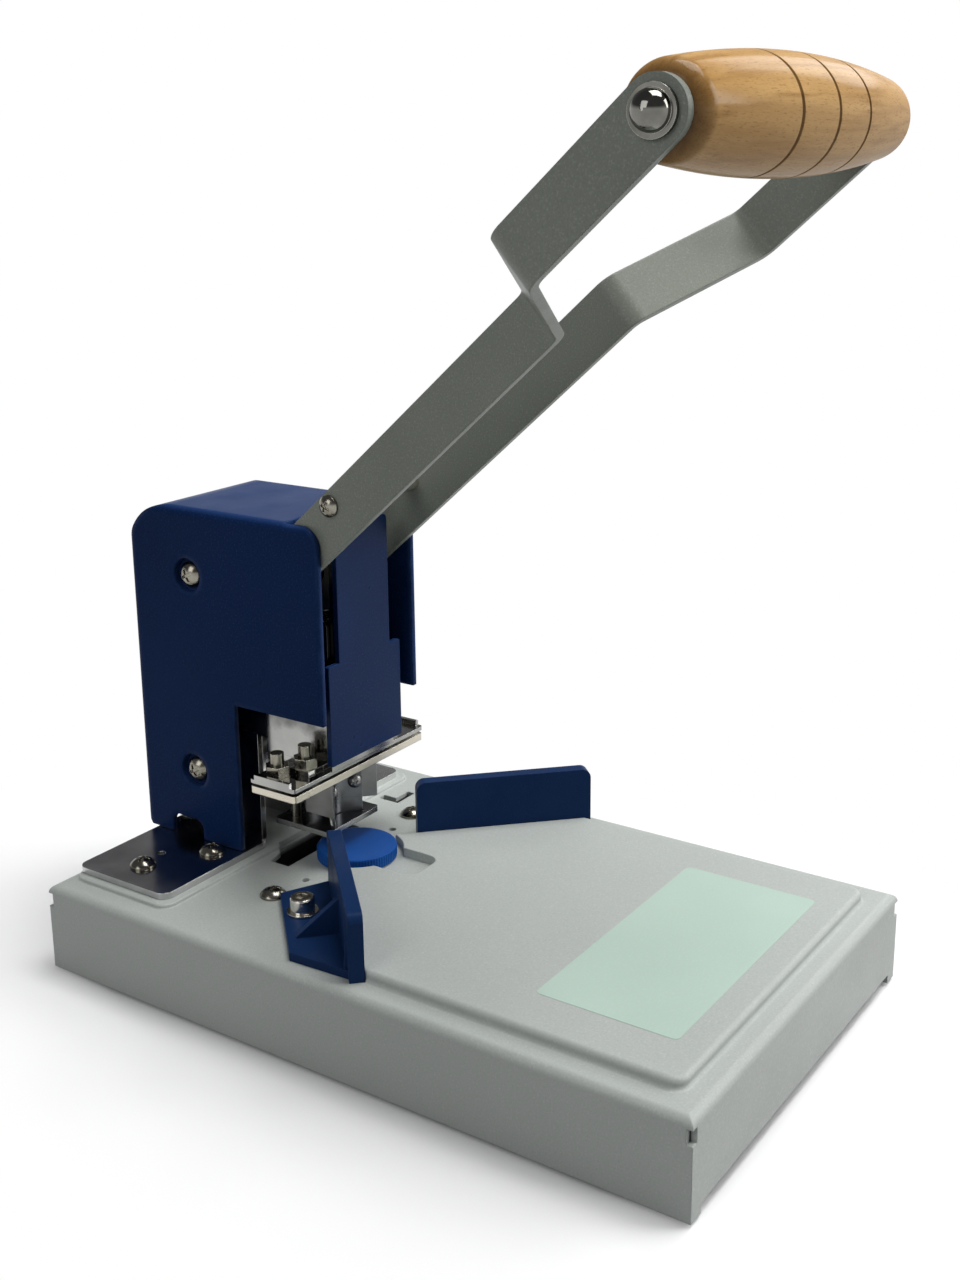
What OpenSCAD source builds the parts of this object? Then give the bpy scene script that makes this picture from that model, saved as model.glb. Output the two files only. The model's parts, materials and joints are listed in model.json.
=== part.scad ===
// Lever-operated corner cutter for paper and card.
// A folded steel base carries two guides that meet in a square corner, a cutting
// disc, and a slim tower. A two-bar lever with a wooden grip pushes a ram down in
// the tower, with a curved blade and a sprung presser foot below it.
// Millimetres. +X is to the right seen from the front, +Y to the back, +Z up.
// The origin is the middle of the base, on the desk.

/* [Base] */
// Width of the base
base_w = 160; // [154:1:176]
// Depth of the base, front to back
base_l = 258; // [254:1:280]
// Height of the base top above the desk
base_h = 33.5; // [30:0.5:42]
// Thickness of the base sheet
sheet_t = 2; // [1.5:0.1:2.4]
// Outer bend radius along the edges of the base
bend_r = 3; // [2.6:0.1:4]
// Width of the pressed-up table in front of the guides
table_w = 140.6; // [132:0.2:146]
// Distance from the front of the base to the table
table_inset = 8.4; // [6:0.2:14]
// Height of the pressed-up table
table_h = 3.6; // [2.8:0.1:5]
// Height of the pressed-up pad below the tower
pad_h = 1.5; // [1:0.1:2]
// Gap below the base walls, taken up by the rubber feet
foot_lift = 1.2; // [0.8:0.1:2]
// Diameter of the rubber feet
foot_d = 14; // [12:0.5:16]

/* [Guides and cutting disc] */
// Distance from the back of the base to the corner of the guides
corner_back = 67.5; // [66:0.5:71]
// Distance along each guide from the corner to where it starts
guide_start = 32.4; // [31:0.2:36]
// Length of each guide
guide_l = 68; // [60:0.5:70]
// Height of each guide above the base top
guide_h = 23.5; // [18:0.5:30]
// Thickness of each guide wall
guide_t = 5; // [4:0.2:6]
// Depth of each guide foot, wall included
guide_foot = 22.5; // [21:0.5:26]
// Thickness of each guide foot
guide_foot_t = 3; // [2.5:0.1:4]
// Diameter of the cutting disc
disc_d = 30; // [28:0.5:31]
// Distance from the corner forward to the middle of the disc
disc_offset = 11.5; // [11:0.5:13]
// Radius that the blade gives a cut corner
corner_r = 6; // [4:0.5:6.5]

/* [Tower] */
// Width of the tower cover
cover_w = 54.6; // [54:0.2:58]
// Wall of the tower cover
cover_wall = 2; // [1.6:0.1:2.4]
// Height of the tower cover
cover_h = 128.2; // [122:0.2:136]
// Depth of the tower cover, front to back
cover_l = 91; // [90:0.5:95]
// Radius of the top back corner of the cover
cover_back_r = 20; // [12:0.5:24]
// Radius of the top front corners of the cover
cover_front_r = 8; // [5:0.5:10]
// Thickness of the frame plates
frame_t = 2.5; // [2:0.1:2.6]
// Clear width between the frame plates
frame_gap = 26.4; // [26:0.2:27]
// Depth of the foot flanges, front to back
flange_l = 44.5; // [42:0.5:46]
// Width over both foot flanges
flange_w = 137; // [130:1:144]

/* [Lever] */
// Slope of the lever at rest
lever_angle = 41.3; // [40:0.1:42]
// Turn of the lever when it is pressed right down
swing = 17; // [14:0.5:18]
// Distance from the corner back to the lever pivot
pivot_back = 23.5; // [23:0.5:25]
// Distance from the top of the cover down to the lever pivot
pivot_drop = 40.6; // [40:0.1:42]
// Distance from the pivot to the middle of the grip
grip_reach = 258.8; // [250:0.2:264]
// Distance from the pivot to the start of the outward jog
jog_start = 175.5; // [165:0.5:182]
// Length of the jog along the lever
jog_l = 28.8; // [22:0.2:34]
// Width of the lever bars
bar_w = 18; // [17:0.2:19]
// Thickness of the lever bars
bar_t = 3; // [2.6:0.1:3.2]
// Length of the wooden grip
grip_l = 144; // [130:1:150]
// Largest diameter of the wooden grip
grip_d = 34; // [32:0.5:38]
// How much the grip thins towards each end, on the radius
grip_taper = 4.8; // [3:0.2:6]
// Distance from the pivot to the drive pin
pin_reach = 30; // [29:0.2:31]
// Diameter of the drive pin
pin_d = 8; // [7:0.2:8.4]
// Diameter of the pivot shaft
shaft_d = 8; // [7:0.2:8.4]

/* [Ram and blade] */
// Thickness of the ram channel
ram_t = 2; // [1.8:0.1:2.2]
// Thickness of the blue face plate of the ram
face_t = 2; // [1.6:0.1:2.2]
// Width of the narrow top of the face plate
face_top_w = 29; // [26:0.5:32]
// Width of the tool plate
tool_w = 76; // [74:0.5:80]
// Depth of the wings of the tool plate
tool_l = 21; // [20:0.5:22]
// Thickness of the tool plate
tool_t = 2.6; // [2.2:0.1:3.2]
// Thickness of the tool tray sheet
tray_t = 1.5; // [1.2:0.1:1.8]
// Height of the turned-up ends of the tool tray
lip_h = 1.8; // [1.4:0.1:2.4]
// Height of the blade holder
holder_h = 15.5; // [13:0.1:16.3]
// Thickness of the blade
blade_t = 1; // [0.8:0.1:1.2]
// Thickness of the presser foot
presser_t = 2; // [1.6:0.1:2.4]
// Way that the presser foot can give
presser_travel = 4.5; // [3.5:0.1:4.8]

/* [Clearances] */
// Running clearance of shafts and pins, on the radius
run_gap = 0.05; // [0.03:0.01:0.08]
// Clearance between sliding flat faces
slide_gap = 0.3; // [0.25:0.05:0.4]
// Clearance left below the blade at the end of the stroke
stop_gap = 0.3; // [0.25:0.05:0.5]

/* [Hidden] */
$fn = 64;
eps = 0.01;

// Heights
top_z = base_h;
disc_proud = 1.4;
disc_gap = 0.3;
disc_top_z = top_z + table_h + disc_proud;
flange_z = top_z + pad_h + frame_t;
cover_z = flange_z + 0.3;
cover_top_z = cover_z + cover_h;
pivot_z = cover_top_z - pivot_drop;
stroke = pin_reach * (sin(lever_angle) - sin(lever_angle - swing));
presser_z = disc_top_z + stop_gap + stroke;
holder_z = presser_z + presser_t + presser_travel + 0.5;
tool_z = holder_z + holder_h;
tray_gap = 1.2;
tray_z = tool_z + tool_t + tray_gap;
tray_top_z = tray_z + tray_t;
throat_z = tray_top_z + 6;

// Places along Y, from the front to the back
corner_y = base_l / 2 - corner_back;
disc_y = corner_y - disc_offset;
face_y = corner_y - 18.2;
channel_y = face_y + face_t;
frame_front_y = channel_y + ram_t + slide_gap;
cover_y = face_y - 2.3;
cover_back_y = cover_y + cover_l;
tool_y = corner_y - 15.3;
presser_pin_y = corner_y + 10;
seat_y = corner_y - 0.5;
tool_back_y = presser_pin_y + 5.5;
pivot_y = corner_y + pivot_back;
column_y = corner_y + 21.5;
flange_y = column_y - 1.5;
frame_back_y = flange_y + flange_l;
upper_spacer = [pivot_y + 18, pivot_z + 15.6];
lower_spacer = [pivot_y + 20, top_z + 31.5];

// Places along X, from the middle outwards
frame_x = frame_gap / 2;
channel_x = frame_x + frame_t + slide_gap;
cover_x = cover_w / 2 - cover_wall;
bar_side_gap = 0.5;
bar_x = cover_x - bar_side_gap - bar_t;
face_w = 2 * bar_x - 2.6;
grip_x = grip_l / 2;
cup_t = 1.6;
spacer_d = 10;
spacer_x = cover_x - cup_t;

// Drive pin, tie rod and ram head
pin_y = pivot_y - pin_reach * cos(lever_angle);
pin_z = pivot_z + pin_reach * sin(lever_angle);
pin_shift = pin_reach * (cos(lever_angle - swing) - cos(lever_angle));
slot_gap = 0.5;
tie_rod_d = 6;
tie_screw_d = 4;
tie_rod_at = [68.3, 4.6];
bush_d = shaft_d + 4;
head_bottom_z = pin_z - 13;
head_top_z = pin_z + 9;
face_top_z = head_top_z + 9;
shoulder_z = tray_top_z + 40.4;
face_bottom_z = tray_top_z + lip_h + 1.4;

// Springs and their seats
presser_pin_x = 9;
presser_pin_d = 4;
presser_head_h = 4;
presser_plate_z = tray_top_z + presser_head_h + 16;
seat_z = presser_plate_z + 4;
seat_h = 6;
seat_l = 18;
seat_post_h = 13;
stud_d = 6;
stud_z = seat_z + seat_h / 2;
return_pitch = 4;
return_d = 16;
return_wire = 1.8;
presser_turns = 5;
presser_spring_d = 6;
presser_wire = 0.8;

// Screws
screw_d = 5;
screw_head_d = 9.5;
screw_head_h = 3.2;
nut_h = 4;
nut_d = 9.2;
guide_screw_at = [guide_start + 22.4, guide_t + 10.9];
anvil_screw_along = guide_start + 1.5;
anvil_screw_behind = guide_foot + 2.3;
anvil_screw_at = [(anvil_screw_along + anvil_screw_behind) / sqrt(2),
  corner_y + (anvil_screw_behind - anvil_screw_along) / sqrt(2)];
flange_screws = [[flange_w / 2 - 13, flange_y + 24], [cover_w / 2 + 6.2, flange_y + 10.5]];
stud_places = [[30, tool_y + 14.5], [channel_x + ram_t + 4.5, tool_y + 7.8]];

// Flat outlines

// Rectangle standing on the X axis with rounded top corners
module slab(w, h, r) {
  translate([-w / 2, 0]) square([w, h - r]);
  translate([-w / 2 + r, 0]) square([w - 2 * r, h]);
  for (s = [-1, 1]) translate([s * (w / 2 - r), h - r]) circle(r);
}

// Rectangle with four rounded corners, from one corner to the other
module rounded_rect(a, b, r) {
  translate([a[0] + r, a[1]]) square([b[0] - a[0] - 2 * r, b[1] - a[1]]);
  translate([a[0], a[1] + r]) square([b[0] - a[0], b[1] - a[1] - 2 * r]);
  for (x = [a[0] + r, b[0] - r], y = [a[1] + r, b[1] - r]) translate([x, y]) circle(r);
}

// The square corner between the guides, rounded by r, seen from above
module corner_area(v, r, reach) {
  translate([0, v]) rotate(45) {
    difference() {
      translate([-reach, -reach]) square(reach);
      translate([-r, -r]) square(r + 1);
    }
    translate([-r, -r]) circle(r);
  }
}

// Solids that are used more than once

// Block with rounded top edges on all four sides, standing on Z = 0
module soft_block(w, l, h, r) {
  intersection() {
    rotate([90, 0, 0]) linear_extrude(l, center = true) slab(w, h, r);
    rotate([90, 0, 90]) linear_extrude(w, center = true) slab(l, h, r);
  }
}

// Bar along X through the point (y, z)
module rod_x(d, x0, x1, y, z) {
  translate([x0, y, z]) rotate([0, 90, 0]) cylinder(d = d, h = x1 - x0);
}

// Outline in the YZ plane, given thickness along X
module plate_x(x, t) {
  translate([x, 0, 0]) rotate([90, 0, 90]) linear_extrude(t) children();
}

// Outline in the XZ plane, given thickness along Y
module plate_y(y, t) {
  translate([0, y + t, 0]) rotate([90, 0, 0]) linear_extrude(t) children();
}

// Pan-head screw with a cross recess, head resting on Z = 0
module pan_screw(head_d, head_h, d, l) {
  dome_r = head_d * 0.62;
  slot_w = head_d * 0.12;
  slot_l = head_d * 0.52;
  difference() {
    intersection() {
      cylinder(d = head_d, h = head_h);
      translate([0, 0, head_h - dome_r]) sphere(dome_r);
    }
    for (a = [25, 115]) rotate(a)
      translate([-slot_l / 2, -slot_w / 2, head_h * 0.6]) cube([slot_l, slot_w, head_h]);
  }
  translate([0, 0, -l]) cylinder(d = d, h = l + eps);
}

// Cap screw with a hexagon socket, head resting on Z = 0
module socket_screw(head_d, head_h, d, l) {
  edge = head_d * 0.05;
  difference() {
    union() {
      cylinder(d = head_d, h = head_h - edge);
      translate([0, 0, head_h - edge - eps]) cylinder(d1 = head_d, d2 = head_d - 2 * edge, h = edge + eps);
    }
    translate([0, 0, head_h * 0.45]) cylinder(d = head_d * 0.54, h = head_h, $fn = 6);
  }
  translate([0, 0, -l]) cylinder(d = d, h = l + eps);
}

// Hexagon nut standing on Z = 0
module hex_nut(d, h, bore) {
  difference() {
    cylinder(d = d, h = h, $fn = 6);
    translate([0, 0, -1]) cylinder(d = bore, h = h + 2);
  }
}

// Points of a coil spring's wire, and one unbroken tube along them
coil_rings = 8;
coil_sides = 6;
function coil_path(d, wire, h, turns) = [for (i = [0 : turns * coil_rings])
  let (a = 360 * i / coil_rings, r = (d - wire) / 2)
  [r * cos(a), r * sin(a), wire / 2 + (h - wire) * i / (turns * coil_rings)]];
function coil_gap(p, wire) = min([for (i = [0 : len(p) - 1], j = [0 : len(p) - 1])
  if (j - i >= coil_rings / 2) norm(p[i] - p[j]) - wire]);
module coil_spring(d, wire, h, turns) {
  path = coil_path(d, wire, h, turns);
  last = len(path) - 1;
  points = [for (i = [0 : last], k = [0 : coil_sides - 1])
    let (a = 360 * i / coil_rings, b = 360 * k / coil_sides, r = wire / 2)
    path[i] + r * [cos(b) * cos(a), cos(b) * sin(a), sin(b)]];
  sides = [for (i = [0 : last - 1], k = [0 : coil_sides - 1])
    let (n = (k + 1) % coil_sides, p = i * coil_sides, q = p + coil_sides)
    each [[p + k, q + k, q + n], [p + k, q + n, p + n]]];
  start = [for (k = [1 : coil_sides - 2]) [0, k, k + 1]];
  end_at = last * coil_sides;
  stop = [for (k = [1 : coil_sides - 2]) [end_at, end_at + k + 1, end_at + k]];
  polyhedron(points, concat(sides, start, stop));
}

// Base

lip_w = 16;
lip_foot_x = base_w / 2 - sheet_t - 7.5;
lip_foot_y = base_l / 2 - 22;
front_relief = 3;
corner_tab = 6;
notch_w = 2.6;
notch_h = 5;
table_r = 1.8;
table_flare = 1.4;
flare_sink = 0.08;
table_corner_r = 5;
pad_r = 0.8;
pad_flare = 0.6;
guide_seat_gap = 0.4;
disc_pocket_r = disc_d / 2 + 2.5;
finger_w = 18;
finger_l = 32;
pad_margin = 3;
chip_w = 42;
chip_front = 4.3;
chip_l = 14.6;
stub_d = 8;
locating_hole = [26, corner_y - 8.2, 3];

// Edge of a pressed-up form, outwards from the middle of its corner
module form_edge(h, corner_r, r, flare) {
  translate([0, -1]) square([corner_r - r, h + 1]);
  translate([0, -1]) square([corner_r, h + 1 - r]);
  translate([corner_r - r, h - r]) circle(r);
  difference() {
    translate([0, -1]) square([corner_r + flare, flare + 1 - flare_sink]);
    translate([corner_r + flare, flare - flare_sink]) circle(flare);
  }
}

// Form pressed up from the base top, with rounded corners, edge to edge w by l
module pressed_form(w, l, h, corner_r, r, flare) {
  x = w / 2 - corner_r;
  y = l / 2 - corner_r;
  translate([-x, -y, -1]) cube([2 * x, 2 * y, h + 1]);
  for (a = [0, 180]) rotate(a) {
    translate([x, y, 0]) rotate([90, 0, 0]) linear_extrude(2 * y) form_edge(h, corner_r, r, flare);
    translate([-x, y, 0]) rotate([90, 0, 90]) linear_extrude(2 * x) form_edge(h, corner_r, r, flare);
    translate([x, y, 0]) rotate_extrude(angle = 90) form_edge(h, corner_r, r, flare);
    translate([-x, y, 0]) rotate(90) rotate_extrude(angle = 90) form_edge(h, corner_r, r, flare);
  }
}

// Pocket in the table for the disc and the finger that turns it
module disc_pocket(grow) {
  translate([0, disc_y]) circle(disc_pocket_r + grow);
  rounded_rect([-finger_w / 2 - grow, disc_y - finger_l - grow], [finger_w / 2 + grow, disc_y], 5 + grow);
}

// Area in front of the guides, less the pocket
module table_limit(inset) {
  v = corner_y - guide_seat_gap - inset * sqrt(2);
  difference() {
    polygon([[-base_w, v - base_w], [0, v], [base_w, v - base_w], [base_w, -base_l], [-base_w, -base_l]]);
    disc_pocket(inset);
  }
}

// Table pressed up from the base top, ending in the square corner of the guides
table_front = -base_l / 2 + table_inset;
module table_form() {
  l = 2 * (corner_y - table_front);
  intersection() {
    translate([0, corner_y, top_z])
      pressed_form(table_w, l, table_h, table_corner_r, table_r, table_flare);
    translate([0, 0, top_z - 5]) linear_extrude(table_h + 10) table_limit(0);
  }
}

module table_hollow() {
  w = table_w / 2 - sheet_t;
  translate([0, 0, top_z - sheet_t - 1]) linear_extrude(table_h + 1) intersection() {
    rounded_rect([-w, table_front + sheet_t], [w, corner_y], table_corner_r - sheet_t);
    table_limit(sheet_t);
  }
}

// Pad pressed up below the foot flanges of the frame
pad_w = flange_w + 2 * pad_margin;
pad_front = flange_y - pad_margin;
pad_back = min(frame_back_y + pad_margin, base_l / 2 - bend_r - pad_flare);
module pad_form() {
  translate([0, (pad_front + pad_back) / 2, top_z])
    pressed_form(pad_w, pad_back - pad_front, pad_h, table_corner_r, pad_r, pad_flare);
}

module pad_hollow() {
  w = pad_w / 2 - sheet_t;
  translate([0, 0, top_z - sheet_t - 1]) linear_extrude(pad_h + 1)
    rounded_rect([-w, pad_front + sheet_t], [w, pad_back - sheet_t], table_corner_r - sheet_t);
}

// Hole that the chips fall through, with a spur at each end and a narrower back
module chip_hole() {
  y = corner_y + chip_front;
  half = [[chip_w / 2, y], [chip_w / 2, y + chip_l * 0.6], [chip_w * 0.32, y + chip_l * 0.72],
    [chip_w * 0.23, y + chip_l]];
  polygon(concat(half, [for (k = [3 : -1 : 0]) [-half[k][0], half[k][1]]]));
}

// Angled slot in the base top behind the right guide
slot_corner = [47.5, corner_y + 5.5];
slot_arms = [11.5, 9.5];
slot_w = 3.6;
module angled_slot() {
  translate(slot_corner) {
    square([slot_arms[0], slot_w]);
    square([slot_w, slot_arms[1]]);
  }
}

module base_tray() {
  wall_h = base_h - foot_lift;
  color("#b4b9b5") difference() {
    union() {
      difference() {
        union() {
          translate([0, 0, foot_lift]) soft_block(base_w, base_l, wall_h, bend_r);
          table_form();
          pad_form();
        }
        translate([0, 0, foot_lift - 1])
          soft_block(base_w - 2 * sheet_t, base_l - 2 * sheet_t, wall_h - sheet_t + 1, bend_r - sheet_t);
        table_hollow();
        pad_hollow();
      }
      for (s = [-1, 1]) translate([s * (base_w - lip_w) / 2 - lip_w / 2, -base_l / 2 + sheet_t, foot_lift])
        cube([lip_w, base_l - 2 * sheet_t, sheet_t]);
    }
    for (s = [-1, 1]) {
      translate([-base_w / 2 + corner_tab, s * (base_l - sheet_t) / 2 - sheet_t / 2 - eps, foot_lift - 1])
        cube([base_w - 2 * corner_tab, sheet_t + 2 * eps, front_relief + 1]);
      for (x = [-1, 1]) translate([x * (base_w - notch_w) / 2 - notch_w / 2 - eps,
          s * (base_l - sheet_t) / 2 - sheet_t / 2 - eps, top_z - bend_r - notch_h])
        cube([notch_w + 2 * eps, sheet_t + 2 * eps, notch_h]);
      for (y = [-1, 1]) translate([s * lip_foot_x, y * lip_foot_y, foot_lift - 1])
        cylinder(d = foot_d - 6, h = sheet_t + 2);
    }
    translate([0, 0, top_z - 10]) {
      linear_extrude(30) chip_hole();
      linear_extrude(30) angled_slot();
      translate([0, disc_y]) cylinder(d = stub_d + 1, h = 30);
      for (s = [-1, 1]) {
        translate([s * anvil_screw_at[0], anvil_screw_at[1]]) cylinder(d = screw_d + 0.4, h = 30);
        translate([s * locating_hole[0], locating_hole[1]]) cylinder(d = locating_hole[2], h = 30);
        for (p = flange_screws) translate([s * p[0], p[1]]) cylinder(d = screw_d + 0.4, h = 30);
        place_guide(s) translate(guide_screw_at) cylinder(d = screw_d + 0.4, h = 30);
      }
    }
  }
}

module rubber_feet() {
  neck_d = foot_d - 6 - 2 * run_gap;
  color("#1c1c1c") for (x = [-1, 1], y = [-1, 1]) translate([x * lip_foot_x, y * lip_foot_y, 0]) {
    cylinder(d1 = foot_d - 1, d2 = foot_d, h = foot_lift);
    cylinder(d = neck_d, h = foot_lift + sheet_t + eps);
    translate([0, 0, foot_lift + sheet_t]) cylinder(d1 = foot_d - 3.5, d2 = neck_d - 1, h = 2.5);
  }
}

// Anvil below the base top, which takes the thrust of the blade
anvil_t = 5;
module anvil_plate() {
  under = top_z - sheet_t;
  color("#8f9396") difference() {
    translate([0, 0, under - anvil_t]) linear_extrude(anvil_t)
      rounded_rect([-anvil_screw_at[0] - 7, disc_y - 10], [anvil_screw_at[0] + 7, corner_y + 2], 4);
    translate([0, disc_y, under - anvil_t - 1]) cylinder(d = stub_d + 2 * run_gap, h = anvil_t + 2);
    for (s = [-1, 1]) translate([s * anvil_screw_at[0], anvil_screw_at[1], under - anvil_t - 1])
      cylinder(d = screw_d + 2 * run_gap, h = anvil_t + 2);
  }
}

module anvil_screws() {
  color("#d8d4c8") for (s = [-1, 1]) translate([s * anvil_screw_at[0], anvil_screw_at[1], top_z])
    pan_screw(screw_head_d, screw_head_h, screw_d, sheet_t + anvil_t);
}

// Guides: x along the guide away from the corner, y behind its face
module place_guide(side) {
  mirror([side < 0 ? 1 : 0, 0, 0]) translate([0, corner_y, 0]) rotate(-45) children();
}

foot_cut = 6.2;
gusset_t = 2.6;
gusset_h = 13;
gusset_places = [0.05, 0.58, 0.93];

module guide() {
  end = guide_start + guide_l;
  color("#1d3357") difference() {
    union() {
      translate([guide_start + guide_l / 2, guide_t, 0]) rotate([90, 0, 0])
        linear_extrude(guide_t) slab(guide_l, guide_h, 3.5);
      linear_extrude(guide_foot_t)
        polygon([[guide_start, guide_t - 1], [guide_start + foot_cut, guide_foot],
          [end - 3 * foot_cut, guide_foot], [end - 2, guide_t - 1]]);
      for (k = gusset_places) {
        x = guide_start + k * (guide_l - gusset_t);
        depth = k > 0.9 ? 6 : guide_foot - 3;
        reach = k < 0.1 ? 5 : depth;
        translate([x, 0, 0]) rotate([90, 0, 90]) linear_extrude(gusset_t)
          polygon([[guide_t - 1, 0], [reach, 0], [reach, guide_foot_t + 0.5],
            [guide_t, guide_foot_t + gusset_h], [guide_t - 1, guide_foot_t + gusset_h]]);
      }
    }
    translate([guide_screw_at[0], guide_screw_at[1], -1]) cylinder(d = screw_d + 0.4, h = guide_foot_t + 2);
  }
}

module left_guide() translate([0, 0, top_z]) place_guide(-1) guide();
module right_guide() translate([0, 0, top_z]) place_guide(1) guide();

washer_t = 1;
module guide_washers() {
  color("#d8d4c8") for (s = [-1, 1]) translate([0, 0, top_z + guide_foot_t]) place_guide(s)
    translate(guide_screw_at) difference() {
      cylinder(d = 11, h = washer_t);
      translate([0, 0, -1]) cylinder(d = screw_d + 0.4, h = washer_t + 2);
    }
}

module guide_screws() {
  shank = washer_t + guide_foot_t + sheet_t + nut_h + 1.5;
  color("#d8d4c8") for (s = [-1, 1]) translate([0, 0, top_z + guide_foot_t + washer_t]) place_guide(s)
    translate(guide_screw_at) socket_screw(8.5, screw_d, screw_d, shank);
}

module guide_nuts() {
  color("#c9c6bb") for (s = [-1, 1]) translate([0, 0, top_z - sheet_t - nut_h]) place_guide(s)
    translate(guide_screw_at) hex_nut(nut_d, nut_h, screw_d + 2 * run_gap);
}

// Cutting disc, turned by its ribbed rim, with a stub in the anvil
rim_flutes = 44;
flute_r = 0.55;
disc_edge = 0.6;
clip_t = 1.2;
module cutting_disc() {
  bottom = top_z + disc_gap;
  stub_l = disc_gap + sheet_t + anvil_t + clip_t + 1.6;
  color("#1f5fb8") translate([0, disc_y, 0]) {
    translate([0, 0, bottom]) linear_extrude(disc_top_z - bottom - disc_edge) difference() {
      circle(d = disc_d);
      for (i = [0 : rim_flutes - 1]) rotate(360 * i / rim_flutes)
        translate([disc_d / 2, 0]) circle(flute_r, $fn = 16);
    }
    translate([0, 0, disc_top_z - disc_edge - eps])
      cylinder(d1 = disc_d - 3 * flute_r, d2 = disc_d - 3 * flute_r - disc_edge, h = disc_edge + eps);
    difference() {
      translate([0, 0, bottom - stub_l]) cylinder(d = stub_d, h = stub_l + eps);
      translate([0, 0, bottom - stub_l + 1.2]) difference() {
        cylinder(d = stub_d + 1, h = clip_t + 2 * run_gap);
        cylinder(d = stub_d - 2, h = clip_t + 2 * run_gap);
      }
    }
  }
}

// Open ring that holds the disc down below the anvil
module disc_clip() {
  z = top_z + disc_gap - (disc_gap + sheet_t + anvil_t + clip_t + 1.6) + 1.2 + run_gap;
  color("#6d6f72") translate([0, disc_y, z]) linear_extrude(clip_t) difference() {
    circle(d = stub_d + 5);
    circle(d = stub_d - 2 + 2 * run_gap);
    translate([-2, 0]) square([4, stub_d]);
  }
}

// Tower frame

throat_r = 6;
module frame_outline() {
  base_at = top_z + pad_h;
  front_top = pin_z - pin_d / 2 - stroke - 4;
  crown_y = pin_y + pin_d / 2 + 6;
  rounded_rect([column_y, base_at], [frame_back_y, upper_spacer[1] + spacer_d + 1], 1.5);
  rounded_rect([frame_front_y, throat_z], [frame_back_y, front_top], 3);
  rounded_rect([crown_y, throat_z], [frame_back_y, upper_spacer[1] + spacer_d + 1], 6);
}

module frame_plate() {
  color("#c3c4c2") difference() {
    union() {
      plate_x(frame_x, frame_t) difference() {
        frame_outline();
        for (p = [upper_spacer, lower_spacer]) translate(p) circle(d = spacer_d + 2 * run_gap);
        translate([pivot_y, pivot_z]) circle(d = shaft_d + 2 * run_gap);
        translate([seat_y, stud_z]) circle(d = stud_d + 2 * run_gap);
      }
      translate([0, 0, top_z + pad_h]) linear_extrude(frame_t)
        rounded_rect([frame_x, flange_y], [flange_w / 2, frame_back_y], 4);
    }
    for (p = flange_screws) translate([p[0], p[1], top_z]) cylinder(d = screw_d + 0.4, h = 10);
    translate([(flange_screws[0][0] + flange_screws[1][0]) / 2, flange_screws[0][1] + 2, top_z])
      cylinder(d = 3.2, h = 10);
  }
}

module left_frame_plate() mirror([1, 0, 0]) frame_plate();
module right_frame_plate() frame_plate();

module frame_screws() {
  color("#d8d4c8") for (s = [-1, 1], p = flange_screws) translate([s * p[0], p[1], flange_z])
    pan_screw(screw_head_d, screw_head_h, screw_d, frame_t + pad_h + sheet_t + nut_h + 1);
}

module frame_nuts() {
  z = top_z + pad_h - sheet_t - nut_h;
  color("#c9c6bb") for (s = [-1, 1], p = flange_screws)
    translate([s * p[0], p[1], z]) hex_nut(nut_d, nut_h, screw_d + 2 * run_gap);
}

// Bars across the frame that the cover is screwed to
cover_screw_l = 9;
module spacer_bars() {
  color("#b9babb") for (p = [upper_spacer, lower_spacer]) difference() {
    rod_x(spacer_d, -spacer_x, spacer_x, p[0], p[1]);
    for (x = [-spacer_x, spacer_x])
      rod_x(screw_d + 2 * run_gap, x - cover_screw_l - 1, x + cover_screw_l + 1, p[0], p[1]);
  }
}

// Tower cover: two sides, back and top, open below and at the front
notch_y = column_y - 0.1;
notch_z = throat_z + 15;
top_front_y = pivot_y - 29;
cup_d = 13;
edge_r = 3;

module cover_form(inset) {
  back = cover_back_y - inset;
  front = cover_y - inset * 2;
  bottom = cover_z - inset * 2;
  high = cover_top_z - inset;
  w = cover_w / 2 - inset;
  back_r = cover_back_r - inset;
  r = edge_r - inset;
  intersection() {
    plate_x(-w, 2 * w) {
      translate([front, bottom]) square([back - front, high - bottom - cover_back_r]);
      translate([front, bottom]) square([back - front - back_r, high - bottom]);
      translate([back - back_r, high - back_r]) circle(back_r);
    }
    translate([0, 0, bottom]) linear_extrude(high - bottom)
      rounded_rect([-w, front - 10], [w, back], r);
    plate_y(front, back - front) translate([0, bottom]) slab(2 * w, high - bottom, r);
  }
}

module tower_cover() {
  cup_x = cover_w / 2 - cover_wall - cup_t;
  color("#1b3a6b") difference() {
    union() {
      difference() {
        cover_form(0);
        cover_form(cover_wall);
        translate([-cover_x, cover_y - 1, cover_z + cover_h / 2])
          cube([2 * cover_x, top_front_y - cover_y + 1, cover_h]);
      }
      for (s = [-1, 1], p = [upper_spacer, lower_spacer])
        rod_x(cup_d + 3, s > 0 ? cup_x : -cover_x - eps, s > 0 ? cover_x + eps : -cup_x, p[0], p[1]);
    }
    plate_x(-cover_w, 2 * cover_w) {
      translate([cover_y - 10, cover_z - 10]) square([notch_y - cover_y + 10, notch_z - cover_z + 10]);
      rounded_rect([pivot_y + 17, cover_z - 10], [pivot_y + 33, cover_z + 7.5], 4);
      translate([cover_back_y, cover_z]) polygon([[-4, -1], [1, -1], [1, 4]]);
      difference() {
        translate([cover_y - 1, cover_top_z - cover_front_r]) square(cover_front_r + 1);
        translate([cover_y + cover_front_r, cover_top_z - cover_front_r]) circle(cover_front_r);
      }
    }
    for (s = [-1, 1], p = [upper_spacer, lower_spacer]) {
      rod_x(cup_d, s > 0 ? cup_x + 1 : -cover_w, s > 0 ? cover_w : -cup_x - 1, p[0], p[1]);
      rod_x(screw_d + 0.4, s > 0 ? 0 : -cover_w, s > 0 ? cover_w : 0, p[0], p[1]);
    }
  }
}

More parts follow.
